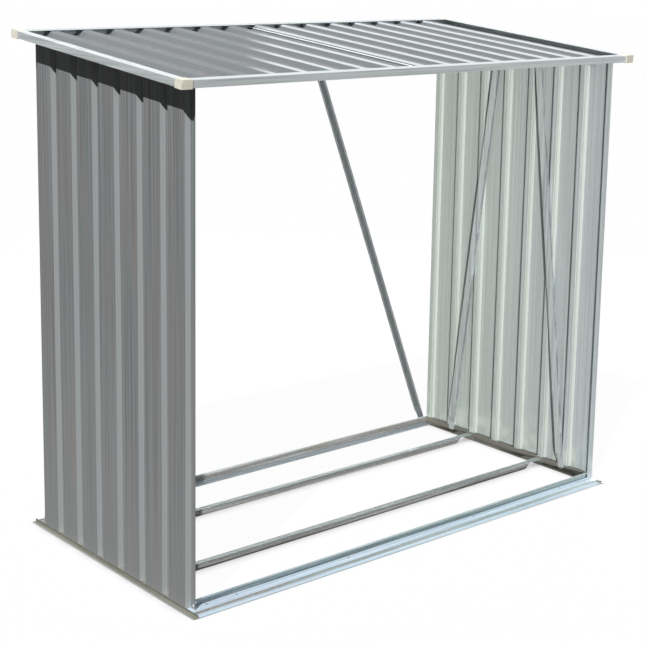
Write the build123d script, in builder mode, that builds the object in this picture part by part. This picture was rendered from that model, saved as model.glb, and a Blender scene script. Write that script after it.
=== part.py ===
# A galvanised steel log store: a low base frame, two ribbed side walls and a ribbed mono-pitch roof.
# The front and the back are open, with one diagonal brace across the back.
# Units are millimetres. +X is the width, the front faces -Y, +Z is up.
# The origin is at the middle of the footprint, on the ground.
import os
from math import atan, copysign, cos, radians, sin, tan

from build123d import *

# Overall sizes
roof_width = 1720.0
roof_depth = 850.0
rear_height = 1487.0
roof_slope = 5.3
base_side_inset = 33.0

# Base rails: a foot on the ground, a low web, a ledge for the wall sheets, an upstand behind them
rail_steel = 1.0
upstand_steel = 1.6
side_foot = 14.0
side_ledge = 14.0
front_foot = 20.0
front_ledge = 36.0
ledge_height = 9.0
upstand_height = 25.0
side_flange = 10.0
cross_flange = 30.0
front_lip = 8.0
foot_corner_radius = 6.0

# Wall sheets: wide crests outside, narrow ribs pressed inwards, the two end ribs cut off at their floors
sheet_steel = 0.8
sheet_bend_radius = 3.0
wall_end_inset = 31.5
wall_ribs = 8
rear_sheet_ribs = 4
wall_rib_depth = 13.0
wall_rib_floor = 20.0
wall_rib_flank = 7.0
lap_lip = 8.0

# Roof sheets: narrow ribs pressed upwards
roof_ribs = 15
roof_edge_flat = 96.0
roof_rib_height = 16.0
roof_rib_crest = 22.0
roof_rib_flank = 12.0
roof_sheet_gap = 1.0

# Roof edge channels and their plastic corner caps
channel_height = 20.0
channel_depth = 30.0
channel_steel = 1.0
cap_wall = 2.0
cap_length = 32.0
splice_length = 40.0
splice_steel = 1.0

# Angles along the top of the walls, which carry the roof
top_angle_leg = 25.0
top_angle_shelf = 42.0
top_angle_inset = 60.0

# Braces and floor bars: folded channels with flattened ends
brace_width = 25.0
brace_depth = 9.4
brace_steel = 1.0
tab_steel = 1.2
tab_length = 30.0
tab_taper = 25.0
tab_radius = 10.0
wall_brace_foot = 262.0
wall_brace_head = 86.0
wall_brace_gap = 8.0
back_brace_foot_inset = 20.0
back_brace_head_x = 205.0
back_brace_lift = 6.0
back_leaf_length = 24.0
bar_width = 18.0
bar_height = 19.0
bar_end_width = 30.0
bar_end_length = 55.0
bar_end_spread = 25.0
bar_ribs = (2, 5)

# Places that follow from the sizes
slope = radians(roof_slope)
cap_height = channel_height + 2 * cap_wall
roof_run = (roof_depth - cap_height * sin(slope)) / cos(slope)
roof_origin = (0, -cap_height * sin(slope) / 2, rear_height - roof_run / 2 * sin(slope))
roof_plane = Plane(origin=roof_origin, x_dir=(1, 0, 0), z_dir=(0, -sin(slope), cos(slope)))
channel_x = roof_width / 2 - cap_wall
channel_v = roof_run / 2 - cap_wall
channel_bottom = -cap_wall - channel_height
sheet_top_cut = channel_bottom - upstand_steel

half_x = roof_width / 2 - base_side_inset
half_y = roof_depth / 2
side_web_x = half_x - side_foot
upstand_x = side_web_x - side_ledge
front_web_y = half_y - front_foot
front_upstand_y = front_web_y - front_ledge
rear_web_y = half_y - side_foot
rear_upstand_y = rear_web_y - side_ledge
side_inner_x = upstand_x - upstand_steel
front_inner_y = front_upstand_y - upstand_steel
rear_inner_y = rear_upstand_y - upstand_steel

wall_rib_half = wall_rib_floor / 2 + wall_rib_flank
wall_rear_y = half_y - wall_end_inset
wall_depth = 2 * wall_rear_y
wall_pitch = (wall_depth - wall_rib_floor) / (wall_ribs - 1)
wall_rib_places = [wall_rear_y - wall_rib_floor / 2 - k * wall_pitch for k in range(wall_ribs)]

os.makedirs("parts", exist_ok=True)


def keep(part, label):
    """Names a finished piece and writes it to its own file."""
    part.label = label
    export_step(part, f"parts/{label}.step")


def roof_height(y, drop):
    """Height above the ground of the roof plane lowered by drop, at the depth y."""
    along = (y - roof_origin[1] + drop * sin(slope)) / cos(slope)
    return roof_origin[2] + along * sin(slope) + drop * cos(slope)


def ribbed_line(centres, crest, flank, height, start, end, over):
    """Corners along the middle of a ribbed sheet's steel, between start and end. A sheet that is
    over another at its first rib lies on it there by the thickness of the steel."""
    bend_shift = sheet_steel * tan(atan(abs(height) / flank) / 2)
    corners = []
    for number, centre in enumerate(centres):
        riding = over and number == 0
        lift = sheet_steel if riding else 0.0
        half = crest / 2 + (copysign(bend_shift, height) if riding else 0.0)
        far_flank = flank * abs(height + lift) / abs(height)
        corners.append((centre - half - flank, lift))
        corners.append((centre - half, height + lift))
        corners.append((centre + half, height + lift))
        corners.append((centre + half + far_flank, 0.0))
    kept = [corner for corner in corners if start < corner[0] < end]
    return [(start, kept[0][1])] + kept + [(end, kept[-1][1])]


def sheet_section(plane, points):
    """Section of bent sheet steel whose middle line follows the points."""
    with BuildSketch(plane) as section:
        with BuildLine():
            FilletPolyline(*points, radius=sheet_bend_radius)
        trace(line_width=sheet_steel)
    return section.sketch


# Base rails
def cross_rail(sign, foot, ledge, web_y, upstand_y, lip):
    """Front or rear rail: its section in the YZ plane, run between the webs of the side rails."""
    inner_y = upstand_y - upstand_steel
    outer_run = 2 * (side_web_x - rail_steel)
    with BuildPart() as rail:
        with BuildSketch(Plane.YZ) as outer_section:
            with Locations((sign * (web_y + foot / 2), rail_steel / 2)):
                Rectangle(foot, rail_steel)
            with Locations((sign * (web_y - rail_steel / 2), ledge_height / 2)):
                Rectangle(rail_steel, ledge_height)
            with Locations((sign * (web_y - ledge / 2), ledge_height - rail_steel / 2)):
                Rectangle(ledge, rail_steel)
        extrude(amount=outer_run / 2, both=True)
        with BuildSketch(Plane.YZ) as upstand_section:
            with Locations((sign * (upstand_y - upstand_steel / 2), upstand_height / 2)):
                Rectangle(upstand_steel, upstand_height)
            if lip > 0:
                with Locations((sign * (upstand_y + lip / 2), upstand_height - rail_steel / 2)):
                    Rectangle(lip, rail_steel)
        extrude(amount=upstand_x, both=True)
        with BuildSketch(Plane.YZ) as flange_section:
            with Locations((sign * (inner_y - cross_flange / 2), rail_steel / 2)):
                Rectangle(cross_flange, rail_steel)
        extrude(amount=side_inner_x, both=True)
    return rail.part


keep(cross_rail(-1, front_foot, front_ledge, front_web_y, front_upstand_y, front_lip), "base_rail_front")
keep(cross_rail(1, side_foot, side_ledge, rear_web_y, rear_upstand_y, 0), "base_rail_rear")

with BuildPart() as side_rail:
    # The foot and the web run on to the corners and close the ends of the cross rails.
    with BuildSketch(Plane.XZ) as side_outer:
        with Locations((side_web_x + side_foot / 2, rail_steel / 2)):
            Rectangle(side_foot, rail_steel)
        with Locations((side_web_x - rail_steel / 2, ledge_height / 2)):
            Rectangle(rail_steel, ledge_height)
    extrude(amount=half_y, both=True)
    # The ledge stops at the ledges of the cross rails.
    with BuildSketch(Plane.XZ.offset(front_upstand_y)) as side_ledge_section:
        with Locations((side_web_x - side_ledge / 2, ledge_height - rail_steel / 2)):
            Rectangle(side_ledge, rail_steel)
    extrude(amount=-(front_upstand_y + rear_upstand_y))
    with BuildSketch(Plane.XZ.offset(front_inner_y)) as side_upstand_section:
        with Locations((upstand_x - upstand_steel / 2, upstand_height / 2)):
            Rectangle(upstand_steel, upstand_height)
    extrude(amount=-(front_inner_y + rear_inner_y))
    with BuildSketch(Plane.XZ.offset(front_inner_y - cross_flange)) as side_flange_section:
        with Locations((side_inner_x - side_flange / 2, rail_steel / 2)):
            Rectangle(side_flange, rail_steel)
    extrude(amount=-(front_inner_y + rear_inner_y - 2 * cross_flange))
    fillet(side_rail.edges().filter_by(Axis.Z).group_by(Axis.X)[-1], foot_corner_radius)

keep(side_rail.part, "base_rail_right")
keep(side_rail.part.mirror(Plane.YZ), "base_rail_left")


# Floor bars
def floor_bar(y):
    """Inverted channel on the ground. Its sides taper off towards flattened ends, which spread out
    and turn up against the side upstands."""
    body_half = side_inner_x - bar_end_length
    spread_half = body_half + bar_end_spread
    side_view = [
        (body_half, bar_height),
        (body_half, bar_height - tab_steel),
        (body_half - tab_taper, 0),
        (tab_taper - body_half, 0),
        (-body_half, bar_height - tab_steel),
        (-body_half, bar_height),
    ]
    end_plan = [
        (body_half, y - bar_width / 2),
        (spread_half, y - bar_end_width / 2),
        (side_inner_x, y - bar_end_width / 2),
        (side_inner_x, y + bar_end_width / 2),
        (spread_half, y + bar_end_width / 2),
        (body_half, y + bar_width / 2),
    ]
    with BuildPart() as bar:
        with BuildSketch(Plane.XZ.offset(-y)) as bar_side:
            with BuildLine():
                Polyline(*side_view, close=True)
            make_face()
        extrude(amount=bar_width / 2, both=True)
        with Locations((0, y, (bar_height - brace_steel) / 2)):
            Box(2 * body_half, bar_width - 2 * brace_steel, bar_height - brace_steel, mode=Mode.SUBTRACT)
        with BuildSketch(Plane.XY.offset(bar_height - tab_steel)) as bar_ends:
            for side in (-1, 1):
                with BuildLine():
                    Polyline(*[(side * along, across) for along, across in end_plan], close=True)
                make_face()
        extrude(amount=tab_steel)
        with BuildSketch(Plane.XY.offset(rail_steel)) as bar_leaves:
            for side in (-1, 1):
                with Locations((side * (side_inner_x - tab_steel / 2), y)):
                    Rectangle(tab_steel, bar_end_width)
        extrude(amount=bar_height - rail_steel)
    return bar.part


keep(floor_bar(wall_rib_places[bar_ribs[0]]), "floor_bar_rear")
keep(floor_bar(wall_rib_places[bar_ribs[1]]), "floor_bar_front")


# Wall sheets
def wall_sheet(line):
    """Ribbed sheet of the right wall, standing on the ledge and cut off along the roof. The line runs
    from the rear forwards, and its ribs press inwards."""
    crest_x = upstand_x + wall_rib_depth + sheet_steel / 2
    plan = sheet_section(Plane.XY.offset(ledge_height), [(crest_x + level, -across) for across, level in line])
    with BuildPart() as sheet:
        extrude(plan, amount=rear_height, dir=(0, 0, 1))
        split(bisect_by=roof_plane.offset(sheet_top_cut), keep=Keep.BOTTOM)
    return sheet.part


across_places = [-place for place in wall_rib_places]
lap_rib = rear_sheet_ribs - 1
lap_start = across_places[lap_rib] - wall_rib_half - lap_lip
lap_stop = across_places[lap_rib] + wall_rib_floor / 4
wall_shape = (wall_rib_floor, wall_rib_flank, -wall_rib_depth)
rear_wall_line = ribbed_line(across_places[:rear_sheet_ribs], *wall_shape, -wall_rear_y, lap_stop, False)
front_wall_line = ribbed_line(across_places[lap_rib:], *wall_shape, lap_start, wall_rear_y, True)

for sheet_name, wall_line in (("rear", rear_wall_line), ("front", front_wall_line)):
    right_sheet = wall_sheet(wall_line)
    keep(right_sheet, f"right_wall_sheet_{sheet_name}")
    keep(right_sheet.mirror(Plane.YZ), f"left_wall_sheet_{sheet_name}")

# Angle along the top of the wall: the sheets hang on its leg and the roof channel lies on its shelf
with BuildPart() as top_angle:
    with BuildSketch(roof_plane.offset(sheet_top_cut)) as shelf_plan:
        with Locations((side_inner_x + top_angle_shelf / 2, 0)):
            Rectangle(top_angle_shelf, wall_depth - 2 * top_angle_inset)
    extrude(amount=upstand_steel)
    with BuildSketch(roof_plane.offset(sheet_top_cut)) as leg_plan:
        with Locations((side_inner_x + upstand_steel / 2, 0)):
            Rectangle(upstand_steel, wall_depth - 2 * top_angle_inset)
    extrude(amount=-top_angle_leg)

keep(top_angle.part, "right_wall_top_angle")
keep(top_angle.part.mirror(Plane.YZ), "left_wall_top_angle")


# Braces
def brace(side_plane, length):
    """Folded channel lying along the plane's X, standing off along its Y, with flattened ends."""
    rise_end = tab_length + tab_taper
    outer = [
        (0, 0),
        (length, 0),
        (length, tab_steel),
        (length - tab_length, tab_steel),
        (length - rise_end, brace_depth),
        (rise_end, brace_depth),
        (tab_length, tab_steel),
        (0, tab_steel),
    ]
    inset = brace_steel
    inner = [
        (tab_length + 2 * inset, 0),
        (length - tab_length - 2 * inset, 0),
        (length - rise_end - inset, brace_depth - inset),
        (rise_end + inset, brace_depth - inset),
    ]
    with BuildPart() as channel:
        with BuildSketch(side_plane) as outer_side:
            with BuildLine():
                Polyline(*outer, close=True)
            make_face()
        extrude(amount=brace_width / 2, both=True)
        with BuildSketch(side_plane) as inner_side:
            with BuildLine():
                Polyline(*inner, close=True)
            make_face()
        extrude(amount=brace_width / 2 - inset, both=True, mode=Mode.SUBTRACT)
        tab_corners = channel.edges().filter_by(lambda edge: abs(edge.length - tab_steel) < 0.001)
        fillet(tab_corners, tab_radius)
    return channel.part


def wall_brace(direction):
    """Brace on the inside of the right wall, leaning towards the middle of the wall."""
    foot = Vector(side_inner_x, direction * wall_brace_foot, ledge_height - rail_steel)
    head_z = roof_height(direction * wall_brace_head, sheet_top_cut) - wall_brace_gap
    head = Vector(side_inner_x, direction * wall_brace_head, head_z)
    along = head - foot
    side_plane = Plane(origin=foot, x_dir=along, z_dir=along.cross(Vector(-1, 0, 0)))
    return brace(side_plane, along.length)


for brace_name, brace_direction in (("rear", 1), ("front", -1)):
    right_brace = wall_brace(brace_direction)
    keep(right_brace, f"right_wall_brace_{brace_name}")
    keep(right_brace.mirror(Plane.YZ), f"left_wall_brace_{brace_name}")

# Brace across the open back, from the right end of the rear rail up to the rear roof channel
with BuildPart() as back_brace:
    back_foot = Vector(side_inner_x - back_brace_foot_inset, rear_upstand_y, ledge_height + back_brace_lift)
    back_head = Vector(back_brace_head_x, rear_upstand_y, roof_height(rear_upstand_y, channel_bottom))
    back_along = back_head - back_foot
    back_plane = Plane(origin=back_foot, x_dir=back_along, z_dir=back_along.cross(Vector(0, 1, 0)))
    add(brace(back_plane, back_along.length))
    split(bisect_by=roof_plane.offset(channel_bottom), keep=Keep.BOTTOM)
    # The head is turned over into a leaf that is screwed up to the channel.
    with BuildSketch(roof_plane.offset(channel_bottom)) as back_leaf:
        with Locations((back_brace_head_x, rear_upstand_y / cos(slope) + back_leaf_length / 2)):
            Rectangle(bar_end_width, back_leaf_length)
    extrude(amount=-tab_steel)

keep(back_brace.part, "back_brace")


# Roof channels
def roof_channel(turn, run_half, out_half):
    """Edge channel with mitred ends, open towards the roof sheets. Turn 0 is the front."""
    run_dir = roof_plane.x_dir * cos(radians(turn)) + roof_plane.y_dir * sin(radians(turn))
    local = Plane(origin=roof_origin, x_dir=run_dir, z_dir=roof_plane.z_dir)
    inner_half = out_half - channel_depth
    with BuildPart() as channel:
        with BuildSketch(local.offset(channel_bottom)) as plan:
            with BuildLine():
                Polyline(
                    (-run_half, -out_half),
                    (run_half, -out_half),
                    (run_half - channel_depth, -inner_half),
                    (-run_half + channel_depth, -inner_half),
                    close=True,
                )
            make_face()
        extrude(amount=channel_height)
        with BuildSketch(local.offset(channel_bottom + channel_steel)) as hollow:
            with Locations((0, -inner_half - (channel_depth - channel_steel) / 2)):
                Rectangle(2 * run_half, channel_depth - channel_steel)
        extrude(amount=channel_height - 2 * channel_steel, mode=Mode.SUBTRACT)
    return channel.part


keep(roof_channel(0, channel_x, channel_v), "roof_channel_front")
keep(roof_channel(90, channel_v, channel_x), "roof_channel_right")
keep(roof_channel(270, channel_v, channel_x), "roof_channel_left")

rear_channel = roof_channel(180, channel_x, channel_v)
for half_name, kept_half in (("left", Keep.BOTTOM), ("right", Keep.TOP)):
    with BuildPart() as rear_half:
        add(rear_channel)
        split(bisect_by=Plane.YZ, keep=kept_half)
    keep(rear_half.part, f"roof_channel_rear_{half_name}")

# Sleeve round the outside of the joint between the two rear channels
with BuildPart() as splice:
    with BuildSketch(roof_plane.offset(channel_bottom - splice_steel)) as splice_plan:
        with Locations((0, channel_v + splice_steel - (channel_depth + splice_steel) / 2)):
            Rectangle(splice_length, channel_depth + splice_steel)
    extrude(amount=channel_height + 2 * splice_steel)
    with BuildSketch(roof_plane.offset(channel_bottom)) as splice_hollow:
        with Locations((0, channel_v - channel_depth / 2)):
            Rectangle(splice_length, channel_depth)
    extrude(amount=channel_height, mode=Mode.SUBTRACT)

keep(splice.part, "roof_channel_splice")


# Plastic caps over the roof's corners
def corner_cap(right, back):
    """Square cap, hollow towards the roof, which the mitred channel ends fill."""
    centre_x = right * (roof_width / 2 - cap_length / 2)
    centre_v = back * (roof_run / 2 - cap_length / 2)
    with BuildPart() as cap:
        with BuildSketch(roof_plane) as cap_plan:
            with Locations((centre_x, centre_v)):
                Rectangle(cap_length, cap_length)
        extrude(amount=-cap_height)
        with BuildSketch(roof_plane.offset(-cap_wall)) as cap_hollow:
            with Locations((centre_x - right * cap_wall, centre_v - back * cap_wall)):
                Rectangle(cap_length, cap_length)
        extrude(amount=-channel_height, mode=Mode.SUBTRACT)
    return cap.part


for side_name, right in (("left", -1), ("right", 1)):
    for end_name, back in (("front", -1), ("rear", 1)):
        keep(corner_cap(right, back), f"roof_cap_{end_name}_{side_name}")


# Roof sheets
def roof_sheet(line):
    """Ribbed sheet lying on the lower flanges of the channels, with its ribs running front to back."""
    section_plane = Plane(origin=roof_origin, x_dir=(1, 0, 0), z_dir=(0, -cos(slope), -sin(slope)))
    flat_level = channel_bottom + channel_steel + sheet_steel / 2
    section = sheet_section(section_plane, [(across, flat_level + level) for across, level in line])
    with BuildPart() as sheet:
        extrude(section, amount=channel_v - channel_steel - roof_sheet_gap, dir=section_plane.z_dir, both=True)
    return sheet.part


roof_edge_x = channel_x - channel_steel - roof_sheet_gap
roof_rib_half = roof_rib_crest / 2 + roof_rib_flank
last_rib_x = roof_edge_x - roof_edge_flat - roof_rib_half
middle_rib = (roof_ribs - 1) // 2
roof_rib_places = [(k / middle_rib - 1) * last_rib_x for k in range(roof_ribs)]
roof_lap_start = roof_rib_places[middle_rib] - roof_rib_half - lap_lip
roof_lap_stop = roof_rib_places[middle_rib] + roof_rib_crest / 4
roof_shape = (roof_rib_crest, roof_rib_flank, roof_rib_height)
left_roof_line = ribbed_line(roof_rib_places[: middle_rib + 1], *roof_shape, -roof_edge_x, roof_lap_stop, False)
right_roof_line = ribbed_line(roof_rib_places[middle_rib:], *roof_shape, roof_lap_start, roof_edge_x, True)

keep(roof_sheet(left_roof_line), "roof_sheet_left")
keep(roof_sheet(right_roof_line), "roof_sheet_right")
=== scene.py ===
from math import cos, pi, radians, sin, tan

import bpy
from mathutils import Matrix, Vector


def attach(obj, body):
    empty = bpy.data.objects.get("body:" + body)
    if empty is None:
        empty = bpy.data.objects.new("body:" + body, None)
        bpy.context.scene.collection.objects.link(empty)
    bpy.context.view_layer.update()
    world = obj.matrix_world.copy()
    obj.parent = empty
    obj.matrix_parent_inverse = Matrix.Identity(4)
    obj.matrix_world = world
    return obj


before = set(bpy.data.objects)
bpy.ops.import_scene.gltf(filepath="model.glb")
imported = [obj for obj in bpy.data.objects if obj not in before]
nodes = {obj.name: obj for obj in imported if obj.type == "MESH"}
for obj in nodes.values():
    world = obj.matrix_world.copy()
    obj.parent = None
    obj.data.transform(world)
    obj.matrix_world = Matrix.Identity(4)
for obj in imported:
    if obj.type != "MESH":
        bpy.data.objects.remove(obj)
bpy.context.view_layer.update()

MM = 0.001
AXIS_X, AXIS_Y, AXIS_Z = 0, 1, 2
ACROSS, DEEP, UP = (1.0, 0.0, 0.0), (0.0, 1.0, 0.0), (0.0, 0.0, 1.0)
LEFTWARDS = (-1.0, 0.0, 0.0)
WHITE = (1.0, 1.0, 1.0, 1.0)

# Camera at the photograph's viewing angle, with angles in degrees
IMAGE_SIZE = 645
CAMERA_PLACE = (-2.920, -3.402, 1.737)
CAMERA_YAW = 40.14
CAMERA_PITCH = 10.71
CAMERA_ROLL = 0.91
FOCAL_PIXELS = 1491
CENTRE_ROW = 226
SENSOR = 36.0

# Distant lamps: the way to each one, how bright it shows a white face turned to it, and its width
# in degrees
SUN = ((-1.0, -0.6, 1.38), 1.22, 0.7)
INSIDE_KEY = ((-0.6, -0.8, 0.08), 0.95, 1.0)
FRONT_FILL = ((-0.35, -0.85, 0.35), 0.32, 60.0)

# Soft box at the right rear, for the sides that face away from the photograph
SIDE_BOX_PLACE = (3.6, 2.2, 0.7)
SIDE_BOX_TARGET = (0.8, 0.2, 0.7)
SIDE_BOX_SIZE = 1.1
SIDE_BOX_POWER = 60.0

# Sky and floor
SKY_STRENGTH = 0.055
SKY_COLOUR = "#dde8fa"
FLOOR_REACH = 30.0
FLOOR_WHITE = "#f6f6f6"
FLOOR_BOUNCE = "#4e4e4c"
FLOOR_SHADOW_SHARE = 0.03
CONTACT_SHADE = "#8f8c8a"
CONTACT_REACH = 40 * MM

# Sizes of the steel, which the screws and the finishes follow
UPSTAND_X = 0.799
SIDE_INNER_X = 0.7974
SHEET_STEEL = 0.8 * MM
TAB_STEEL = 1.2 * MM
WALL_REAR_Y = 0.3935
WALL_RIB_FLOOR = 20 * MM
WALL_RIBS = 8
ROOF_SLOPE = radians(5.3)
ROOF_MIDDLE = 1.4477
CHANNEL_BOTTOM = -22 * MM
FRONT_UPSTAND_Y = -0.369
REAR_UPSTAND_Y = 0.397
LEDGE_HEIGHT = 9 * MM
RAIL_BROAD_UP_TO = 9.5 * MM
ABOVE_ALL = 2.0

# Places of the screws and spare holes
SCREW_ROW_Z = 17.5 * MM
TOP_SCREW_DROP = 12 * MM
TAB_SCREW_Z = 11.5 * MM
TAB_RIBS = (2, 5)
CORNER_SCREW_X = 0.783
CORNER_SCREW_Z = 16.5 * MM
SPARE_HOLE_ROW_Y = FRONT_UPSTAND_Y - 12 * MM
SPARE_HOLE_PLACES_X = (-0.755, -0.655, -0.255, 0.255, 0.655)

# Sizes of a screw: radius and thickness of its flange, then radius and height of its head
SHEET_SCREW = (4.6 * MM, 0.8 * MM, 3.2 * MM, 3.4 * MM)
INNER_SCREW = (4.2 * MM, 0.8 * MM, 3.4 * MM, 3.0 * MM)
SPARE_HOLE = (3.0 * MM, 0.1 * MM, 2.0 * MM, 0.15 * MM)
FLANGE_SIDES, HEAD_SIDES = 16, 6
SPIN_SEED = 7

# Colours of the real finishes, and of the painted light and shade on some of them
COATED_GREY = "#98999a"
COATED_GREY_WARM = "#9b9896"
COATED_GREY_COOL = "#939899"
ROLLING_LINE = "#6b6d6e"
COATED_FLANK_HIGHLIGHT = "#acafaf"
COATED_DUST = "#a3a5a4"
ROOF_GREY = "#7f8284"
ROOF_GREY_WARM = "#858283"
ROOF_GREY_COOL = "#787d81"
ROOF_FLANK_SHADE = "#777b7d"
ROOF_RIB_HIGHLIGHT = "#ccd0d3"
BARE_ZINC_REAR = "#cdd7cb"
BARE_ZINC_FRONT = "#d0d7da"
ZINC_LINE = "#abb2af"
ZINC_FLANK_HIGHLIGHT = "#bac0ba"
ZINC_FLANK_EDGE_HIGHLIGHT = "#9fa69f"
ZINC_BACK_FLANK_SHADE = "#4b514f"
SPANGLE = "#d3d9d6"
ZINC_FLOOR_REFLECTION = "#dfe6df"
LEDGE_SKY_REFLECTION_BLUE = "#c3d9ea"
LEDGE_WHITE = "#e9f0f5"
REAR_FOOT_PAINTED_LIGHT = "#e2f0fb"
FOLD_BROWN = "#8c857b"
FOLD_DARK = "#67635c"
SIDE_FOLD = "#757163"
SIDE_FOOT = "#868880"
SIDE_LEDGE = "#8f9188"
SIDE_INNER_FOOT_PAINTED_LIGHT = "#d3cdbf"
SIDE_STREAK = "#abaca2"
EDGE_SHADE = "#4b4f4e"
EDGE_SLATE = "#6b767d"
UPSTAND_SLATE = "#7e939b"
UPSTAND_GREEN = "#adbcb2"
ZINC_GREENISH = "#bcc5c0"
CHANNEL_FACE = "#c3c9c7"
CHANNEL_TOP = "#e6edee"
CROSS_CHANNEL_FACE = "#d8dfde"
CROSS_CHANNEL_FAR = "#ebf1ef"
CROSS_CHANNEL_TOP = "#d6dddf"
BRACE_FACE = "#d0d6d2"
BRACE_SIDE = "#7c8184"
BACK_BRACE_FACE = "#626566"
BACK_BRACE_EDGE = "#c6caca"
BAR_TOP = "#e6efec"
BAR_FACE = "#7b7871"
BAR_FOOT = "#a8a8a2"
CAP_CREAM = "#f2efdf"
CAP_SHADE = "#e2dcc8"
SCREW_ZINC = "#dfe2e3"
SCREW_DULL = "#b9bfc2"
HOLE_SHADE = "#202427"

# Size of one mark of each pattern: its length along the strip or sheet, then its width
ROLLING_LINE_SIZE = (0.9, 3.2 * MM)
COAT_BAND_SIZE = (0.45, 30 * MM)
STRIP_STREAK_SIZE = (0.5, 9 * MM)
STRIP_LINE_SIZE = (0.4, 2.4 * MM)
SHEET_SPANGLE_SIZE = 8 * MM
STRIP_SPANGLE_SIZE = 7 * MM
FLOOR_REFLECTION_PATCH_SIZE = 60 * MM
CAP_MOTTLE_SIZE = 11 * MM
CAP_GRAIN_SIZE = 1.2 * MM
SCREW_WEAR_SIZE = 4 * MM

# Heights between which the coat's dust and the bare zinc's painted floor reflection set in, going
# down
DUST_HEIGHTS = (0.75, 0.10)
FLOOR_REFLECTION_HEIGHTS = (0.17, 0.06)

# Distances from the middle of the store between which the painted highlight of a wall rib's inner
# bend sets in
RIB_HIGHLIGHT_CORE = (UPSTAND_X + 3 * MM, UPSTAND_X + 7 * MM)

# The painted highlight along the upper edges of the roof's ribs: the heights in the roof plane where
# it sets in, and the line across the roof, by its direction and the places on it, up to which it
# fades
RIB_HIGHLIGHT_HEIGHTS = (ROOF_MIDDLE - 10 * MM, ROOF_MIDDLE - 8 * MM)
RIB_HIGHLIGHT_FADE_WAY = (0.8, -0.6, 0.0)
RIB_HIGHLIGHT_FADE_PLACES = (-0.28, -0.20)
RIB_HIGHLIGHT_FADED_SHARE = 0.1

# Where the lap of the roof sheets is painted, from and to, and its tone: a painted shadow line on
# each side of a painted highlight
ROOF_LAP_PAINTED_LINES = (
    (-21.5 * MM, -19.5 * MM, EDGE_SHADE),
    (-19.5 * MM, -17.5 * MM, CHANNEL_TOP),
    (-17.5 * MM, -16.0 * MM, EDGE_SHADE),
)


# Parts of a face's normal, along one way, between which the face counts as: the coated outside, a
# bend or flank of a sheet, where light and shade are painted, the rounding of a roof rib, where a
# highlight is painted, a flank that looks to the rear, where shade is painted, and a broad face of a
# strip
OUTSIDE_TURN = (-0.05, 0.05)
BEND_LEAN = (0.45, 0.80)
ROUNDED_LEAN = (0.10, 0.30)
BACK_FLANK_SHADE_LEAN = (0.10, 0.40)
BROAD_TURN = (0.45, 0.75)

# Parts of the broad noise where the coat's cool, middle and warm greys lie
COAT_BAND_STOPS = (0.36, 0.50, 0.66)


# Small helpers for colours and materials
def linear(hex_colour):
    """Linear RGBA of an sRGB hex colour."""
    parts = [int(hex_colour[i:i + 2], 16) / 255 for i in (1, 3, 5)]
    parts = [p / 12.92 if p <= 0.04045 else ((p + 0.055) / 1.055) ** 2.4 for p in parts]
    return (*parts, 1.0)


def add_node(tree, kind, inputs=None, **settings):
    """Adds a node with its settings. An input takes a value, an output, or a node whose first
    output in use feeds it."""
    made = tree.nodes.new(kind)
    for name, value in settings.items():
        setattr(made, name, value)
    for key, value in (inputs or {}).items():
        used = [socket for socket in made.inputs if socket.enabled]
        socket = used[key] if isinstance(key, int) else next(s for s in used if s.name == key)
        if isinstance(value, bpy.types.Node):
            value = next(output for output in value.outputs if output.enabled)
        if isinstance(value, bpy.types.NodeSocket):
            tree.links.new(value, socket)
        else:
            socket.default_value = value
    return made


def new_material(name):
    """An empty material and its node tree."""
    material = bpy.data.materials.new(name)
    material.use_nodes = True
    material.node_tree.nodes.clear()
    return material, material.node_tree


def drawn_out(along, size):
    """Scale of a pattern whose marks are drawn out along one axis, from the size of one mark."""
    length, width = size
    scale = [1 / width, 1 / width, 1 / width]
    scale[along] = 1 / length
    return scale


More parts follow.
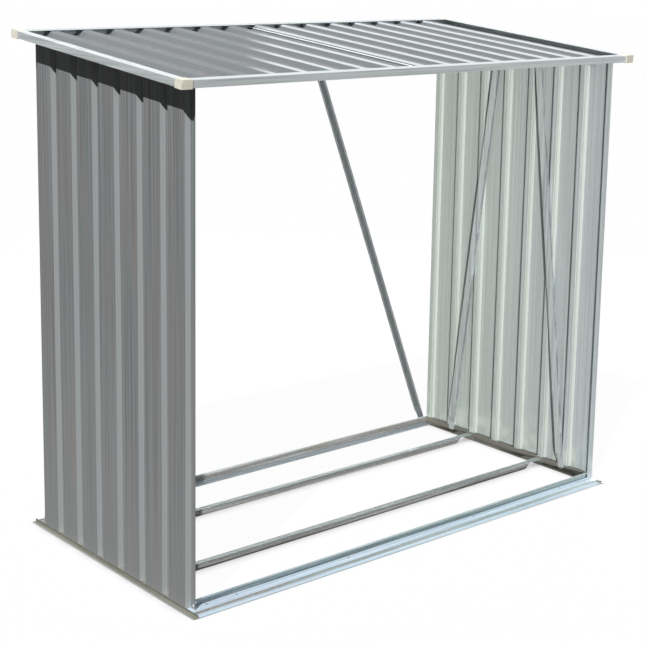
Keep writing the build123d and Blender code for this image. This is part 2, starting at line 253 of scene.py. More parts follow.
def sheet_material(name, along, outward, side, coat_tones, painted_flank_colour, sheen, rib_highlight=None):
    """Profiled steel sheet, roll formed: a satin grey coat outside, which shows rolling lines and
    painted light and shade on its bends, and bare spangled zinc inside, with painted light and shade
    on its flanks and a painted floor reflection low down. Along is the axis of its ribs, outward
    points out of its coated face, side is the way across its ribs, and coat tones are the coat's
    cool, middle and warm greys. The painted flank colour is painted on the coat's bends: a highlight
    on the walls, shade on the roof. Sheen is the strength of its soft reflections. A rib highlight
    colour is a painted highlight along the upper edges of the roof's ribs."""
    material, tree = new_material(name)
    place = add_node(tree, "ShaderNodeTexCoord").outputs["Object"]
    parts = add_node(tree, "ShaderNodeSeparateXYZ", {"Vector": place}).outputs
    normal = add_node(tree, "ShaderNodeNewGeometry").outputs["Normal"]
    facing = add_node(tree, "ShaderNodeVectorMath", {0: normal, 1: outward}, operation="DOT_PRODUCT")
    outside = add_node(
        tree, "ShaderNodeMapRange",
        {"Value": facing, "From Min": OUTSIDE_TURN[0], "From Max": OUTSIDE_TURN[1]},
    )
    across = add_node(tree, "ShaderNodeVectorMath", {0: normal, 1: side}, operation="DOT_PRODUCT")
    leaning = add_node(tree, "ShaderNodeMath", {0: across}, operation="ABSOLUTE")
    # The bends and flanks of the ribs, where light and shade are painted into the colour
    bend = add_node(
        tree, "ShaderNodeMapRange",
        {"Value": leaning, "From Min": BEND_LEAN[0], "From Max": BEND_LEAN[1]},
    )

    # Fine rolling lines, and the coat's warm and cool bands
    noises = []
    for size, detail in ((ROLLING_LINE_SIZE, 2.0), (COAT_BAND_SIZE, 3.0)):
        stretched = add_node(
            tree, "ShaderNodeMapping", {"Vector": place, "Scale": drawn_out(along, size)}
        )
        noises.append(
            add_node(
                tree, "ShaderNodeTexNoise", {"Vector": stretched, "Scale": 1.0, "Detail": detail}
            )
        )
    fine, broad = noises
    bands = add_node(tree, "ShaderNodeValToRGB", {"Fac": broad})
    stops = bands.color_ramp.elements
    stops[0].position, stops[0].color = COAT_BAND_STOPS[0], linear(coat_tones[0])
    stops[1].position, stops[1].color = COAT_BAND_STOPS[2], linear(coat_tones[2])
    stops.new(COAT_BAND_STOPS[1]).color = linear(coat_tones[1])

    # The coat, from its bands up: rolling lines, dust towards the floor, then painted light and
    # shade on the bends
    line = add_node(
        tree, "ShaderNodeMapRange",
        {"Value": fine, "From Min": 0.42, "From Max": 0.7, "To Max": 0.9},
    )
    dust = add_node(
        tree, "ShaderNodeMapRange",
        {
            "Value": parts["Z"],
            "From Min": DUST_HEIGHTS[0],
            "From Max": DUST_HEIGHTS[1],
            "To Max": 0.35,
        },
    )
    coat_layers = [
        (line, linear(ROLLING_LINE)), (dust, linear(COATED_DUST)), (bend, linear(painted_flank_colour)),
    ]
    if rib_highlight:
        # The painted highlight takes up the top few millimetres of each rib
        plane_height = add_node(
            tree, "ShaderNodeVectorMath", {0: place, 1: (0.0, -tan(ROOF_SLOPE), 1.0)},
            operation="DOT_PRODUCT",
        )
        upper = add_node(
            tree, "ShaderNodeMapRange",
            {
                "Value": plane_height,
                "From Min": RIB_HIGHLIGHT_HEIGHTS[0],
                "From Max": RIB_HIGHLIGHT_HEIGHTS[1],
            },
        )
        rounded = add_node(
            tree, "ShaderNodeMapRange",
            {"Value": leaning, "From Min": ROUNDED_LEAN[0], "From Max": ROUNDED_LEAN[1]},
        )
        edge = add_node(tree, "ShaderNodeMath", {0: upper, 1: rounded}, operation="MULTIPLY")
        # The painted highlight fades to a small share up to a slanting line across the roof
        aslant = add_node(
            tree, "ShaderNodeVectorMath", {0: place, 1: RIB_HIGHLIGHT_FADE_WAY}, operation="DOT_PRODUCT"
        )
        bright = add_node(
            tree, "ShaderNodeMapRange",
            {
                "Value": aslant,
                "From Min": RIB_HIGHLIGHT_FADE_PLACES[0],
                "From Max": RIB_HIGHLIGHT_FADE_PLACES[1],
                "To Min": RIB_HIGHLIGHT_FADED_SHARE,
            },
        )
        rib_highlight_share = add_node(tree, "ShaderNodeMath", {0: edge, 1: bright}, operation="MULTIPLY")
        coat_layers.append((rib_highlight_share, linear(rib_highlight)))

        # The lap of the two sheets, on the middle rib: a painted shadow line on each side of a
        # painted highlight along its edge
        for start, stop, tone in ROOF_LAP_PAINTED_LINES:
            after = add_node(
                tree, "ShaderNodeMath", {0: parts["X"], 1: start}, operation="GREATER_THAN"
            )
            before = add_node(
                tree, "ShaderNodeMath", {0: parts["X"], 1: stop}, operation="LESS_THAN"
            )
            lap = add_node(tree, "ShaderNodeMath", {0: after, 1: before}, operation="MULTIPLY")
            coat_layers.append((lap, linear(tone)))

    # Bare zinc: a green cast at the rear and a blue one at the front, then dull lines, spangle and
    # a pale painted reflection of the floor, low down
    forward = add_node(
        tree, "ShaderNodeMapRange",
        {"Value": parts["Y"], "From Min": WALL_REAR_Y, "From Max": -WALL_REAR_Y},
    )
    cast = add_node(
        tree, "ShaderNodeMix",
        {"Factor": forward, "A": linear(BARE_ZINC_REAR), "B": linear(BARE_ZINC_FRONT)},
        data_type="RGBA",
    )
    dull = add_node(
        tree, "ShaderNodeMapRange",
        {"Value": fine, "From Min": 0.4, "From Max": 0.68, "To Max": 0.8},
    )
    crystals = add_node(
        tree, "ShaderNodeTexVoronoi", {"Vector": place, "Scale": 1 / SHEET_SPANGLE_SIZE}
    )
    sparkle = add_node(
        tree, "ShaderNodeMapRange",
        {"Value": crystals.outputs["Distance"], "From Min": 0.1, "From Max": 0.8, "To Max": 0.35},
    )
    low = add_node(
        tree, "ShaderNodeMapRange",
        {"Value": parts["Z"], "From Min": FLOOR_REFLECTION_HEIGHTS[0], "From Max": FLOOR_REFLECTION_HEIGHTS[1]},
    )
    cloud = add_node(
        tree, "ShaderNodeTexNoise", {"Vector": place, "Scale": 1 / FLOOR_REFLECTION_PATCH_SIZE, "Detail": 1.0}
    )
    pale = add_node(
        tree, "ShaderNodeMapRange",
        {"Value": cloud, "From Min": 0.45, "From Max": 0.65, "To Max": 0.8},
    )
    floor_reflection = add_node(tree, "ShaderNodeMath", {0: low, 1: pale}, operation="MULTIPLY")

    # Its bends: a painted highlight on the flanks that look to the front, softer at their outer
    # edge, and painted shade on those that look to the rear
    deep = add_node(tree, "ShaderNodeVectorMath", {0: place, 1: outward}, operation="DOT_PRODUCT")
    core = add_node(
        tree, "ShaderNodeMapRange",
        {"Value": deep, "From Min": RIB_HIGHLIGHT_CORE[0], "From Max": RIB_HIGHLIGHT_CORE[1]},
    )
    flank_highlight = add_node(
        tree, "ShaderNodeMix",
        {"Factor": core, "A": linear(ZINC_FLANK_EDGE_HIGHLIGHT), "B": linear(ZINC_FLANK_HIGHLIGHT)},
        data_type="RGBA",
    )
    back_flank_shade = add_node(
        tree, "ShaderNodeMapRange",
        {"Value": across, "From Min": BACK_FLANK_SHADE_LEAN[0], "From Max": BACK_FLANK_SHADE_LEAN[1]},
    )
    flank_light_and_shade = add_node(
        tree, "ShaderNodeMix",
        {"Factor": back_flank_shade, "A": flank_highlight, "B": linear(ZINC_BACK_FLANK_SHADE)},
        data_type="RGBA",
    )
    zinc_layers = [
        (dull, linear(ZINC_LINE)), (sparkle, linear(SPANGLE)), (floor_reflection, linear(ZINC_FLOOR_REFLECTION)),
        (bend, flank_light_and_shade),
    ]

    sides = []
    for colour, layers in ((bands.outputs["Color"], coat_layers), (cast, zinc_layers)):
        for share, tone in layers:
            colour = add_node(
                tree, "ShaderNodeMix", {"Factor": share, "A": colour, "B": tone},
                data_type="RGBA",
            )
        sides.append(colour)
    coat, zinc = sides
    colour = add_node(
        tree, "ShaderNodeMix", {"Factor": outside, "A": zinc, "B": coat}, data_type="RGBA"
    )
    metal = add_node(tree, "ShaderNodeMapRange", {"Value": outside, "To Min": 0.15, "To Max": 0.04})
    rough = add_node(
        tree, "ShaderNodeMapRange",
        {"Value": fine, "From Min": 0.3, "From Max": 0.7, "To Min": 0.42, "To Max": 0.52},
    )
    bump = add_node(
        tree, "ShaderNodeBump", {"Strength": 0.1, "Distance": 0.4 * MM, "Height": fine}
    )
    shader = add_node(
        tree, "ShaderNodeBsdfPrincipled",
        {
            "Base Color": colour,
            "Metallic": metal,
            "Roughness": rough,
            "Specular IOR Level": sheen,
            "Normal": bump.outputs["Normal"],
        },
    )
    add_node(tree, "ShaderNodeOutputMaterial", {"Surface": shader})
    return material


def strip_material(
    name, along, broad, across, broad_tones, fold_tones,
    far_tint=None, broad_up_to=ABOVE_ALL, streak_tone=LEDGE_WHITE,
):
    """Galvanised steel strip, roll formed, with a blue cast on its broad faces and a straw-brown one
    on its folds, over dull rolling lines and faint spangle; on the rails the blue is a painted
    reflection of the sky. Broad is the way its broad faces look, up to the height broad up to, with
    tones by the distance from the middle of the store across the strip. The folds have tones by
    height, and may drift to a far tint along the strip. Streak tone is the colour of its pale
    streaks."""
    material, tree = new_material(name)
    place = add_node(tree, "ShaderNodeTexCoord").outputs["Object"]
    normal = add_node(tree, "ShaderNodeNewGeometry").outputs["Normal"]
    parts = add_node(tree, "ShaderNodeSeparateXYZ", {"Vector": place}).outputs
    facing = add_node(tree, "ShaderNodeVectorMath", {0: normal, 1: broad}, operation="DOT_PRODUCT")
    tilt = add_node(tree, "ShaderNodeMath", {0: facing}, operation="ABSOLUTE")
    level = add_node(
        tree, "ShaderNodeMapRange",
        {"Value": tilt, "From Min": BROAD_TURN[0], "From Max": BROAD_TURN[1]},
    )
    below = add_node(
        tree, "ShaderNodeMath", {0: parts["Z"], 1: broad_up_to}, operation="LESS_THAN"
    )
    broad_share = add_node(tree, "ShaderNodeMath", {0: level, 1: below}, operation="MULTIPLY")
    aside = add_node(tree, "ShaderNodeMath", {0: parts[across]}, operation="ABSOLUTE")

    # The tones across the broad faces and up the folds
    ramps = []
    for distance, tones in ((aside, broad_tones), (parts["Z"], fold_tones)):
        first, last = tones[0][0], tones[-1][0]
        share = add_node(
            tree, "ShaderNodeMapRange", {"Value": distance, "From Min": first, "From Max": last}
        )
        ramp = add_node(tree, "ShaderNodeValToRGB", {"Fac": share})
        stops = ramp.color_ramp.elements
        stops[0].color, stops[1].color = linear(tones[0][1]), linear(tones[-1][1])
        for tone_place, tone in tones[1:-1]:
            stops.new((tone_place - first) / (last - first)).color = linear(tone)
        ramps.append(ramp.outputs["Color"])
    broad_tone, fold_tone = ramps
    if far_tint:
        far = add_node(
            tree, "ShaderNodeMapRange",
            {"Value": parts[along], "From Min": -UPSTAND_X, "From Max": UPSTAND_X},
        )
        fold_tone = add_node(
            tree, "ShaderNodeMix", {"Factor": far, "A": fold_tone, "B": linear(far_tint)},
            data_type="RGBA",
        )
    colour = add_node(
        tree, "ShaderNodeMix", {"Factor": broad_share, "A": fold_tone, "B": broad_tone},
        data_type="RGBA",
    )

    # Pale and dark streaks of the passivation, dull rolling lines and faint spangle: each with the
    # part of its pattern where it sets in and is full, its strength, and its tone
    noises = []
    for size, detail in ((STRIP_STREAK_SIZE, 3.0), (STRIP_LINE_SIZE, 2.0)):
        stretched = add_node(
            tree, "ShaderNodeMapping", {"Vector": place, "Scale": drawn_out(along, size)}
        )
        noises.append(
            add_node(
                tree, "ShaderNodeTexNoise", {"Vector": stretched, "Scale": 1.0, "Detail": detail}
            )
        )
    drift, fine = noises
    crystals = add_node(
        tree, "ShaderNodeTexVoronoi", {"Vector": place, "Scale": 1 / STRIP_SPANGLE_SIZE}
    )
    for pattern, start, full, strength, tone in (
        (drift, 0.5, 0.72, 0.55, streak_tone),
        (drift, 0.47, 0.28, 0.55, EDGE_SLATE),
        (fine, 0.5, 0.75, 0.4, BRACE_SIDE),
        (crystals.outputs["Distance"], 0.1, 0.8, 0.15, streak_tone),
    ):
        share = add_node(
            tree, "ShaderNodeMapRange",
            {"Value": pattern, "From Min": start, "From Max": full, "To Max": strength},
        )
        colour = add_node(
            tree, "ShaderNodeMix", {"Factor": share, "A": colour, "B": linear(tone)},
            data_type="RGBA",
        )
    bump = add_node(
        tree, "ShaderNodeBump", {"Strength": 0.12, "Distance": 0.3 * MM, "Height": fine}
    )
    shader = add_node(
        tree, "ShaderNodeBsdfPrincipled",
        {
            "Base Color": colour,
            "Metallic": 0.2,
            "Roughness": 0.45,
            "Specular IOR Level": 0.3,
            "Normal": bump.outputs["Normal"],
        },
    )
    add_node(tree, "ShaderNodeOutputMaterial", {"Surface": shader})
    return material


def moulded_material(name):
    """Injection-moulded polyethylene: cream, faintly mottled and fine-grained, with a soft gloss."""
    material, tree = new_material(name)
    place = add_node(tree, "ShaderNodeTexCoord").outputs["Object"]
    mottle = add_node(
        tree, "ShaderNodeTexNoise", {"Vector": place, "Scale": 1 / CAP_MOTTLE_SIZE, "Detail": 3.0}
    )
    shade = add_node(
        tree, "ShaderNodeMapRange",
        {"Value": mottle, "From Min": 0.4, "From Max": 0.75, "To Max": 0.6},
    )
    base = add_node(
        tree, "ShaderNodeMix", {"Factor": shade, "A": linear(CAP_CREAM), "B": linear(CAP_SHADE)},
        data_type="RGBA",
    )
    grain = add_node(
        tree, "ShaderNodeTexNoise", {"Vector": place, "Scale": 1 / CAP_GRAIN_SIZE, "Detail": 2.0}
    )
    bump = add_node(
        tree, "ShaderNodeBump", {"Strength": 0.2, "Distance": 0.2 * MM, "Height": grain}
    )
    shader = add_node(
        tree, "ShaderNodeBsdfPrincipled",
        {"Base Color": base, "Roughness": 0.5, "IOR": 1.5, "Normal": bump.outputs["Normal"]},
    )
    add_node(tree, "ShaderNodeOutputMaterial", {"Surface": shader})
    return material


def plated_material(name, bright, worn_colour, metallic):
    """Zinc-plated steel, barrel plated: smooth, in a bright tone with patches of a worn one."""
    material, tree = new_material(name)
    place = add_node(tree, "ShaderNodeTexCoord").outputs["Object"]
    worn = add_node(
        tree, "ShaderNodeTexNoise", {"Vector": place, "Scale": 1 / SCREW_WEAR_SIZE, "Detail": 2.0}
    )
    patch = add_node(
        tree, "ShaderNodeMapRange", {"Value": worn, "From Min": 0.45, "From Max": 0.65}
    )
    base = add_node(
        tree, "ShaderNodeMix", {"Factor": patch, "A": linear(bright), "B": linear(worn_colour)},
        data_type="RGBA",
    )
    shader = add_node(
        tree, "ShaderNodeBsdfPrincipled",
        {"Base Color": base, "Metallic": metallic, "Roughness": 0.3},
    )
    add_node(tree, "ShaderNodeOutputMaterial", {"Surface": shader})
    return material


def even(tone):
    """One tone over a whole face of a strip."""
    return [(0.0, tone), (ABOVE_ALL, tone)]


# Wall sheets: an even satin grey outside with a painted highlight on its bends, and cool, spangled
# zinc inside with painted light and shade on its flanks and a painted floor reflection low down
wall_coat = (COATED_GREY_COOL, COATED_GREY, COATED_GREY_WARM)
WALL_SHEEN = 0.12
left_sheet = sheet_material(
    "coated_steel_sheet_left_wall", AXIS_Z, LEFTWARDS, DEEP, wall_coat, COATED_FLANK_HIGHLIGHT, WALL_SHEEN
)
right_sheet = sheet_material(
    "coated_steel_sheet_right_wall", AXIS_Z, ACROSS, DEEP, wall_coat, COATED_FLANK_HIGHLIGHT, WALL_SHEEN
)

# Roof sheets: a darker, shinier coat, with painted shade on the flanks of its ribs and painted
# highlight lines along the ribs' upper edges
roof_coat = (ROOF_GREY_COOL, ROOF_GREY, ROOF_GREY_WARM)
ROOF_SHEEN = 0.2
roof_sheet = sheet_material(
    "coated_steel_roof_sheet", AXIS_Y, UP, ACROSS, roof_coat, ROOF_FLANK_SHADE, ROOF_SHEEN, ROOF_RIB_HIGHLIGHT
)

# Front rail: pale blue on its foot and ledge, a painted reflection of the sky, with a painted
# shadow line along the ledge beside the upstand, brown folds and a slate upstand
front_rail = strip_material(
    "passivated_steel_rail_front", AXIS_X, UP, AXIS_Y,
    [
        # Beside the upstand, a slate band on the ledge is a painted shadow along the crease
        (0.366, LEDGE_SKY_REFLECTION_BLUE), (0.3675, EDGE_SLATE), (0.371, EDGE_SLATE), (0.374, LEDGE_SKY_REFLECTION_BLUE),
        (0.386, LEDGE_SKY_REFLECTION_BLUE), (0.389, LEDGE_WHITE), (0.392, LEDGE_WHITE), (0.395, LEDGE_SKY_REFLECTION_BLUE),
        (0.403, LEDGE_SKY_REFLECTION_BLUE), (0.4045, FOLD_BROWN), (0.4058, FOLD_BROWN), (0.4066, LEDGE_SKY_REFLECTION_BLUE),
        (0.4225, LEDGE_SKY_REFLECTION_BLUE), (0.424, EDGE_SLATE), (0.425, EDGE_SLATE),
    ],
    [
        (0.0, EDGE_SLATE), (0.001, FOLD_BROWN), (0.009, FOLD_BROWN), (0.010, EDGE_SLATE),
        (0.025, UPSTAND_SLATE),
    ],
    UPSTAND_GREEN, RAIL_BROAD_UP_TO,
)

# Rear rail: a pale blue inner foot, a painted sky reflection lightened with painted light where the
# lamps don't reach it, and a brown upstand with a pale top
rear_rail = strip_material(
    "passivated_steel_rail_rear", AXIS_X, UP, AXIS_Y,
    [(0.365, REAR_FOOT_PAINTED_LIGHT), (0.396, REAR_FOOT_PAINTED_LIGHT), (0.397, ZINC_GREENISH), (0.425, ZINC_GREENISH)],
    [(0.0, FOLD_DARK), (0.021, FOLD_BROWN), (0.0225, ZINC_GREENISH), (0.025, ZINC_GREENISH)],
    None, RAIL_BROAD_UP_TO,
)

# Side rails: an olive-grey ledge and foot, with a pale outer edge and a straw-pale inner foot,
# lightened with painted light where the lamps don't reach it
side_rail = strip_material(
    "passivated_steel_rail_side", AXIS_Y, UP, AXIS_X,
    [
        (0.787, SIDE_INNER_FOOT_PAINTED_LIGHT), (0.7974, SIDE_INNER_FOOT_PAINTED_LIGHT), (0.799, SIDE_LEDGE),
        (0.8125, SIDE_LEDGE), (0.8135, SIDE_FOLD), (0.8195, SIDE_FOLD), (0.8205, SIDE_FOOT),
        (0.8222, SIDE_FOOT), (0.8232, ZINC_GREENISH), (0.8262, ZINC_GREENISH),
        (0.827, EDGE_SLATE),
    ],
    [
        (0.0, EDGE_SLATE), (0.001, FOLD_DARK), (0.0075, SIDE_FOLD), (0.0082, EDGE_SHADE),
        (0.009, EDGE_SHADE), (0.0095, FOLD_BROWN), (0.0235, FOLD_BROWN), (0.025, ZINC_GREENISH),
    ],
    None, RAIL_BROAD_UP_TO, SIDE_STREAK,
)

# Roof channels: bright, even zinc, which pales to the right on the front and rear ones
cross_channel = strip_material(
    "galvanised_roof_channel_cross", AXIS_X, UP, AXIS_Y,
    even(CROSS_CHANNEL_TOP), even(CROSS_CHANNEL_FACE), CROSS_CHANNEL_FAR,
)
side_channel = strip_material(
    "galvanised_roof_channel_side", AXIS_Y, UP, AXIS_X, even(CHANNEL_TOP), even(CHANNEL_FACE)
)

# Braces: pale faces and sides darkened with painted shade in the walls, and a slate face with pale
# edges at the back
wall_brace = strip_material(
    "galvanised_wall_brace", AXIS_Z, ACROSS, AXIS_X, even(BRACE_FACE), even(BRACE_SIDE)
)
back_brace = strip_material(
    "galvanised_back_brace", AXIS_Z, DEEP, AXIS_Y, even(BACK_BRACE_FACE), even(BACK_BRACE_EDGE),
    streak_tone=BRACE_SIDE,
)

# Floor bars: a bright top, a slate line under it and a brown side
floor_bar = strip_material(
    "galvanised_floor_bar", AXIS_X, UP, AXIS_Y,
    [(0.1515, EDGE_SLATE), (0.1525, BAR_TOP), (0.176, BAR_TOP), (0.177, EDGE_SLATE)],
    [
        (0.0, BAR_FOOT), (0.0025, BAR_FACE), (0.0145, BAR_FACE), (0.0165, EDGE_SLATE),
        (0.0215, EDGE_SLATE), (0.0235, BAR_TOP), (0.025, BAR_TOP),
    ],
)

# Caps, screws and spare holes: soft cream plastic, bright plated steel, and for the holes flat discs
# of painted shade in place of their depth
cap_plastic = moulded_material("moulded_cream_polyethylene")
screw_steel = plated_material("zinc_plated_screw_steel", SCREW_ZINC, SCREW_DULL, 0.85)
hole_shade = plated_material("shaded_inside_of_a_hole", HOLE_SHADE, EDGE_SLATE, 0.1)


def finish_of(name):
    """The material of a CAD node."""
    if name.startswith("roof_cap"):
        return cap_plastic
    if name.startswith("roof_sheet"):
        return roof_sheet
    if "wall_sheet" in name:
        return left_sheet if name.startswith("left") else right_sheet
    if name in ("roof_channel_left", "roof_channel_right") or name.endswith("top_angle"):
        return side_channel
    if name.startswith("roof_channel"):
        return cross_channel
    if name in ("base_rail_left", "base_rail_right"):
        return side_rail
    if name.startswith("base_rail"):
        return front_rail if name == "base_rail_front" else rear_rail
    if name.startswith("floor_bar"):
        return floor_bar
    return back_brace if name == "back_brace" else wall_brace


for name, node in nodes.items():
    node.data.materials.clear()
    node.data.materials.append(finish_of(name))


# Screws: hexagon heads with a pressed flange, set on the places listed below
def screw_heads(name, places, screw_sizes, finish):
    """Screw heads in one mesh. Each place is a point and the way its head faces."""
    labels = ("Flange radius", "Flange thickness", "Head radius", "Head height")
    sizes = dict(zip(labels, screw_sizes))
    tree = bpy.data.node_groups.new(name, "GeometryNodeTree")
    tree.interface.new_socket("Places", in_out="INPUT", socket_type="NodeSocketGeometry")
    for label in labels:
        tree.interface.new_socket(label, in_out="INPUT", socket_type="NodeSocketFloat")
    tree.interface.new_socket("Screws", in_out="OUTPUT", socket_type="NodeSocketGeometry")
    given = add_node(tree, "NodeGroupInput").outputs

    # The flange and the head, each lifted by half its height so that it stands on its place
    screw = add_node(tree, "GeometryNodeJoinGeometry")
    for corners, radius, height in (
        (FLANGE_SIDES, "Flange radius", "Flange thickness"),
        (HEAD_SIDES, "Head radius", "Head height"),
    ):
        disc = add_node(
            tree, "GeometryNodeMeshCylinder",
            {"Vertices": corners, "Radius": given[radius], "Depth": given[height]},
        )
        half = add_node(tree, "ShaderNodeMath", {0: given[height], 1: 0.5}, operation="MULTIPLY")
        lift = add_node(tree, "ShaderNodeCombineXYZ", {"Z": half})
        stood = add_node(
            tree, "GeometryNodeTransform", {"Geometry": disc, "Translation": lift}
        )
        tree.links.new(stood.outputs[0], screw.inputs[0])

    # Each screw turned to the way it faces, and spun by chance, with a fixed seed
    facing = add_node(
        tree, "GeometryNodeInputNamedAttribute", {"Name": "facing"}, data_type="FLOAT_VECTOR"
    )
    turned = add_node(tree, "FunctionNodeAlignRotationToVector", {"Vector": facing}, axis="Z")
    spin = add_node(
        tree, "FunctionNodeRandomValue", {"Min": 0.0, "Max": 2 * pi, "Seed": SPIN_SEED},
        data_type="FLOAT",
    )
    spun = add_node(tree, "FunctionNodeAxisAngleToRotation", {"Axis": UP, "Angle": spin})
    way = add_node(
        tree, "FunctionNodeRotateRotation", {"Rotation": turned, "Rotate By": spun},
        rotation_space="LOCAL",
    )
    placed = add_node(
        tree, "GeometryNodeInstanceOnPoints",
        {"Points": given["Places"], "Instance": screw, "Rotation": way},
    )
    real = add_node(tree, "GeometryNodeRealizeInstances", {"Geometry": placed})
    finished = add_node(tree, "GeometryNodeSetMaterial", {"Geometry": real, "Material": finish})
    add_node(tree, "NodeGroupOutput", {"Screws": finished})

    points = bpy.data.meshes.new(name + "_places")
    points.from_pydata([place for place, way in places], [], [])
    ways = points.attributes.new("facing", "FLOAT_VECTOR", "POINT")
    ways.data.foreach_set("vector", [part for place, way in places for part in way])
    carrier = bpy.data.objects.new(name + "_places", points)
    bpy.context.scene.collection.objects.link(carrier)
    modifier = carrier.modifiers.new("screws", "NODES")
    modifier.node_group = tree
    for item in tree.interface.items_tree:
        if item.in_out == "INPUT" and item.name in sizes:
            modifier[item.identifier] = sizes[item.name]
    seen = carrier.evaluated_get(bpy.context.evaluated_depsgraph_get())
    mesh = bpy.data.meshes.new_from_object(seen)
    mesh.name = name
    if mesh.materials[0] is None:
        # The cylinders bring an empty material slot of their own
        mesh.materials.pop(index=0)
    bpy.data.objects.remove(carrier)
    piece = bpy.data.objects.new(name, mesh)
    bpy.context.scene.collection.objects.link(piece)
    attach(piece, "root")
    return piece


# One screw at the foot of each wall rib and one near its top, their inner ends, those of the
# braces' tabs, and one at each corner where a cross rail's upstand meets the side rail
wall_pitch = (2 * WALL_REAR_Y - WALL_RIB_FLOOR) / (WALL_RIBS - 1)
rib_places = [WALL_REAR_Y - WALL_RIB_FLOOR / 2 - k * wall_pitch for k in range(WALL_RIBS)]
top_screws = [
    (y, ROOF_MIDDLE + y * tan(ROOF_SLOPE) + CHANNEL_BOTTOM - TOP_SCREW_DROP)
    for y in rib_places[1:-1]
]
sheet_places, inner_places, corner_places = [], [], []
for side in (-1, 1):
    outer_x = side * (UPSTAND_X + SHEET_STEEL)
    feet = [(y, SCREW_ROW_Z) for y in rib_places]
    sheet_places += [((outer_x, y, z), (side, 0.0, 0.0)) for y, z in feet + top_screws]
    inner_places += [((side * SIDE_INNER_X, y, z), (-side, 0.0, 0.0)) for y, z in top_screws]
    tab_x = side * (SIDE_INNER_X - TAB_STEEL)
    inner_places += [((tab_x, rib_places[k], TAB_SCREW_Z), (-side, 0.0, 0.0)) for k in TAB_RIBS]
    for upstand_y, facing in ((FRONT_UPSTAND_Y, -1.0), (REAR_UPSTAND_Y, 1.0)):
        corner_places.append(
            ((side * CORNER_SCREW_X, upstand_y, CORNER_SCREW_Z), (0.0, facing, 0.0))
        )
# Spare holes: flat discs on the ledge, with painted shade standing for the inside of each hole
hole_places = [((x, SPARE_HOLE_ROW_Y, LEDGE_HEIGHT), UP) for x in SPARE_HOLE_PLACES_X]

sheet_screws = screw_heads(
    "wall_sheet_screws", sheet_places + corner_places, SHEET_SCREW, screw_steel
)
inner_screws = screw_heads("wall_screw_nuts", inner_places, INNER_SCREW, screw_steel)
spare_holes = screw_heads("rail_spare_holes", hole_places, SPARE_HOLE, hole_shade)


# Matt white paper: white to the eye, with a faint shadow that deepens beside the steel. Its bounce
# is kept low, so that the shade under the roof edge stays deep.
floor_paper, floor_tree = new_material("matt_white_floor_paper")
floor_rays = add_node(floor_tree, "ShaderNodeLightPath").outputs
seen_paper = add_node(
    floor_tree, "ShaderNodeMix",
    {
        "Factor": floor_rays["Is Camera Ray"],
        "A": linear(FLOOR_BOUNCE),
        "B": linear(FLOOR_WHITE),
    },
    data_type="RGBA",
)
paper = add_node(floor_tree, "ShaderNodeBsdfDiffuse", {"Color": seen_paper})
near_steel = add_node(
    floor_tree, "ShaderNodeAmbientOcclusion", {"Distance": CONTACT_REACH}, samples=12
)
glow_tone = add_node(
    floor_tree, "ShaderNodeMix",
    {"Factor": near_steel.outputs["AO"], "A": linear(CONTACT_SHADE), "B": WHITE},
    data_type="RGBA",
)
paper_glow = add_node(floor_tree, "ShaderNodeEmission", {"Color": glow_tone, "Strength": 1.0})
camera_share = add_node(
    floor_tree, "ShaderNodeMath",
    {0: floor_rays["Is Camera Ray"], 1: 1 - FLOOR_SHADOW_SHARE},
    operation="MULTIPLY",
)
paper_seen = add_node(
    floor_tree, "ShaderNodeMixShader", {0: camera_share, 1: paper, 2: paper_glow}
)
add_node(floor_tree, "ShaderNodeOutputMaterial", {"Surface": paper_seen})

reach = FLOOR_REACH
floor_mesh = bpy.data.meshes.new("floor")
floor_mesh.from_pydata(
    [(-reach, -reach, 0), (reach, -reach, 0), (reach, reach, 0), (-reach, reach, 0)],
    [], [(0, 1, 2, 3)],
)
floor_mesh.materials.append(floor_paper)
floor = bpy.data.objects.new("floor", floor_mesh)
bpy.context.scene.collection.objects.link(floor)

# Pale sky: white behind the object and in reflections, and a faint blue light from all round
world = bpy.data.worlds.new("pale_sky")
world.use_nodes = True
bpy.context.scene.world = world
sky_tree = world.node_tree
sky_tree.nodes.clear()
sky_rays = add_node(sky_tree, "ShaderNodeLightPath").outputs
seen_white = add_node(
    sky_tree, "ShaderNodeMath", {0: sky_rays["Is Camera Ray"], 1: sky_rays["Is Glossy Ray"]},
    operation="MAXIMUM",
)
sky = add_node(
    sky_tree, "ShaderNodeBackground", {"Color": linear(SKY_COLOUR), "Strength": SKY_STRENGTH}
)
white = add_node(sky_tree, "ShaderNodeBackground", {"Color": WHITE, "Strength": 1.0})
sky_mix = add_node(sky_tree, "ShaderNodeMixShader", {0: seen_white, 1: sky, 2: white})
add_node(sky_tree, "ShaderNodeOutputWorld", {"Surface": sky_mix})


# Lamps
def group_of(name, members):
    """A collection of the objects that a lamp lights."""
    group = bpy.data.collections.new(name)
    for member in members:
        group.objects.link(member)
    return group


def add_sun(name, settings, lit):
    """A distant lamp from its direction, brightness on a white face and width."""
    towards, brightness, width = settings
    data = bpy.data.lights.new(name, "SUN")
    data.energy = brightness * pi
    data.angle = radians(width)
    lamp = bpy.data.objects.new(name, data)
    lamp.rotation_euler = Vector(towards).to_track_quat("Z", "Y").to_euler()
    lamp.light_linking.receiver_collection = lit
    bpy.context.scene.collection.objects.link(lamp)


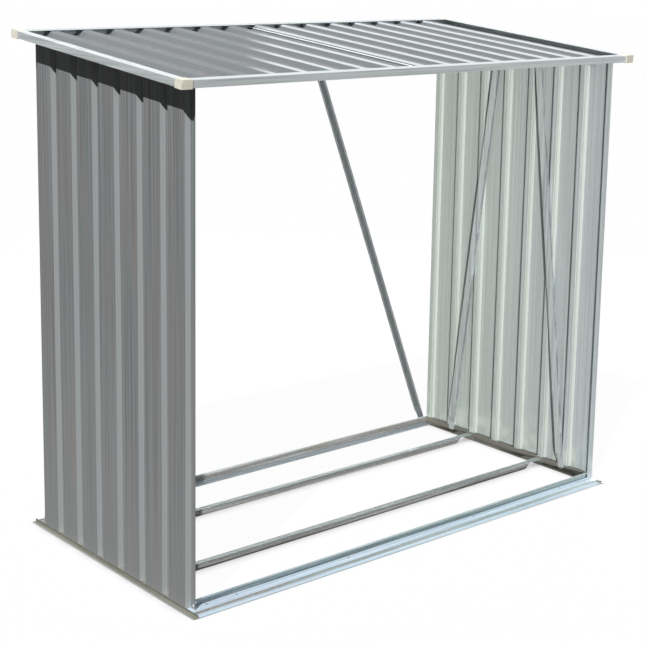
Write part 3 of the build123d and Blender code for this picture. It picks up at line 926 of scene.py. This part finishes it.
# The sun lights the outside, the inside key lights the inner faces that the sun can't reach, and
# the front fill lights all but the left wall's sheets, which stay as dark as in the photograph
inside_nodes = [
    node for name, node in nodes.items()
    if name.startswith(("right_wall", "floor_bar")) or "brace" in name
    or name in ("base_rail_right", "base_rail_rear")
]
outside_nodes = [node for node in nodes.values() if node not in inside_nodes]
front_nodes = [node for name, node in nodes.items() if not name.startswith("left_wall_sheet")]
screws = [sheet_screws, inner_screws, spare_holes]
add_sun("sun", SUN, group_of("lit_by_sun", outside_nodes + [sheet_screws, spare_holes, floor]))
add_sun("inside_key", INSIDE_KEY, group_of("lit_inside", inside_nodes + [inner_screws]))
add_sun("front_fill", FRONT_FILL, group_of("lit_from_the_front", front_nodes + screws))

side_box_data = bpy.data.lights.new("side_soft_box", "AREA")
side_box_data.energy = SIDE_BOX_POWER
side_box_data.size = SIDE_BOX_SIZE
side_box = bpy.data.objects.new("side_soft_box", side_box_data)
side_box.location = SIDE_BOX_PLACE
side_aim = Vector(SIDE_BOX_TARGET) - Vector(SIDE_BOX_PLACE)
side_box.rotation_euler = side_aim.to_track_quat("-Z", "Y").to_euler()
side_box.visible_camera = False
bpy.context.scene.collection.objects.link(side_box)

# Camera
yaw, pitch, roll = radians(CAMERA_YAW), radians(CAMERA_PITCH), radians(CAMERA_ROLL)
look = Vector((sin(yaw) * cos(pitch), cos(yaw) * cos(pitch), -sin(pitch)))
level_right = Vector((cos(yaw), -sin(yaw), 0.0))
level_up = level_right.cross(look)
right = level_right * cos(roll) + level_up * sin(roll)
up = level_up * cos(roll) - level_right * sin(roll)
camera_data = bpy.data.cameras.new("camera")
camera_data.sensor_width = SENSOR
camera_data.lens = FOCAL_PIXELS * SENSOR / IMAGE_SIZE
camera_data.shift_y = (CENTRE_ROW - IMAGE_SIZE / 2) / IMAGE_SIZE
camera = bpy.data.objects.new("camera", camera_data)
turn = Matrix((right, up, -look)).transposed().to_4x4()
camera.matrix_world = Matrix.Translation(CAMERA_PLACE) @ turn
bpy.context.scene.collection.objects.link(camera)
bpy.context.scene.camera = camera

bpy.context.scene.view_settings.view_transform = "Standard"
